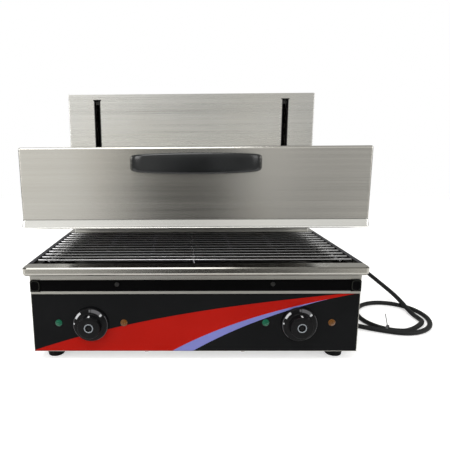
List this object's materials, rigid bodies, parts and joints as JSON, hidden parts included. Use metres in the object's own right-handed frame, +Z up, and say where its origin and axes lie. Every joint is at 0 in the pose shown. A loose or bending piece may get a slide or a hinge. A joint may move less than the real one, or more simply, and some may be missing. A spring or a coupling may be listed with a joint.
{
  "type": "salamander grill",
  "caption": "Countertop lift-top electric grill: hood with two heating elements on a rear column, wire rack, pull-out drip tray, two dials and a coiled lead.",
  "frame": {"origin": "on the floor under the middle of the grill's box, feet at Z 0", "axes": "+X to the right seen from the front, +Y from the front to the back, +Z up"},
  "size_m": [0.8396, 0.6468, 0.51],
  "materials": {
    "brushed_steel": "brushed",
    "sheet_steel": "satin",
    "bright_steel": "polished",
    "element_sheath": "oxidised",
    "black_plastic": "satin",
    "black_rubber": "matte",
    "printed_film": "satin print with red and blue stripes",
    "green_lens": "gloss",
    "orange_lens": "gloss",
    "ceramic": "matte",
    "bronze": "satin",
    "cast_iron": "rough"
  },
  "bodies": {
    "casing": {"base_pan": "sheet_steel", "side_panel_left": "brushed_steel", "side_panel_right": "brushed_steel", "base_rear_panel": "brushed_steel", "control_panel": "brushed_steel", "front_film": "printed_film", "tray_surround": "brushed_steel", "end_posts": "black_plastic", "heat_shield": "sheet_steel", "tray_runners": "sheet_steel", "feet": "black_rubber", "base_screws": "bright_steel", "thermostats": "black_plastic", "lamp_bodies": "black_plastic", "green_lenses": "green_lens", "orange_lenses": "orange_lens", "terminal_block": "ceramic", "top_frame": "brushed_steel", "column_front": "brushed_steel", "column_rear": "brushed_steel", "column_top": "brushed_steel", "slot_guides": "black_plastic", "rod_beams": "sheet_steel", "guide_rods": "bright_steel", "travel_stops": "black_rubber", "pulley_brackets": "sheet_steel", "weight_guides": "sheet_steel", "lift_cables": "bright_steel", "cable_gland": "black_rubber", "cord_lead": "black_rubber", "cord_coil": "black_rubber", "cord_tail": "black_rubber", "cord_tie": "black_plastic", "plug": "black_rubber"},
    "hood": {"hood_shell": "brushed_steel", "hood_rear": "brushed_steel", "hood_skirt": "brushed_steel", "reflector": "sheet_steel", "insulation": "ceramic", "element_left": "element_sheath", "element_right": "element_sheath", "element_terminals": "ceramic", "element_hangers": "sheet_steel", "handle": "black_plastic", "handle_screws": "bright_steel", "arms": "sheet_steel", "carriage": "sheet_steel", "slide_bushes": "bronze"},
    "counterweight": {"counterweight": "cast_iron"},
    "pulley_left": {"pulley_left": "black_plastic"},
    "pulley_right": {"pulley_right": "black_plastic"},
    "tray": {"drip_tray": "sheet_steel", "tray_front": "black_plastic", "tray_screws": "bright_steel"},
    "rack": {"wire_rack": "bright_steel"},
    "knob_left": {"knob_left": "black_plastic", "shaft_left": "bright_steel"},
    "knob_right": {"knob_right": "black_plastic", "shaft_right": "bright_steel"}
  },
  "joints": [
    {"name": "hood_lift", "type": "slide", "parent": "casing", "child": "hood", "axis": [0, 0, 1], "range_m": [-0.045, 0.125], "deforming": ["lift_cables"]},
    {"name": "weight_slide", "type": "slide", "parent": "casing", "child": "counterweight", "axis": [0, 0, 1], "range_m": [-0.126, 0.046]},
    {"name": "pulley_left_spin", "type": "hinge", "parent": "casing", "child": "pulley_left", "pos_m": [-0.135, 0.194, 0.4665], "axis": [0, 1, 0], "range_deg": [-120, 300]},
    {"name": "pulley_right_spin", "type": "hinge", "parent": "casing", "child": "pulley_right", "pos_m": [0.135, 0.194, 0.4665], "axis": [0, 1, 0], "range_deg": [-300, 120]},
    {"name": "tray_slide", "type": "slide", "parent": "casing", "child": "tray", "axis": [0, -1, 0], "range_m": [0, 0.25]},
    {"name": "rack_lift", "type": "slide", "parent": "casing", "child": "rack", "axis": [0, 0, 1], "range_m": [0, 0.015]},
    {"name": "knob_left_turn", "type": "hinge", "parent": "casing", "child": "knob_left", "pos_m": [-0.188, -0.22, 0.0738], "axis": [0, 1, 0], "range_deg": [0, 270]},
    {"name": "knob_right_turn", "type": "hinge", "parent": "casing", "child": "knob_right", "pos_m": [0.188, -0.22, 0.0738], "axis": [0, 1, 0], "range_deg": [0, 270]}
  ],
  "couplings": [
    {"joint": "weight_slide", "follows": "hood_lift", "ratio": -1},
    {"joint": "pulley_left_spin", "follows": "hood_lift", "rad_per_m": 40},
    {"joint": "pulley_right_spin", "follows": "hood_lift", "rad_per_m": -40}
  ]
}
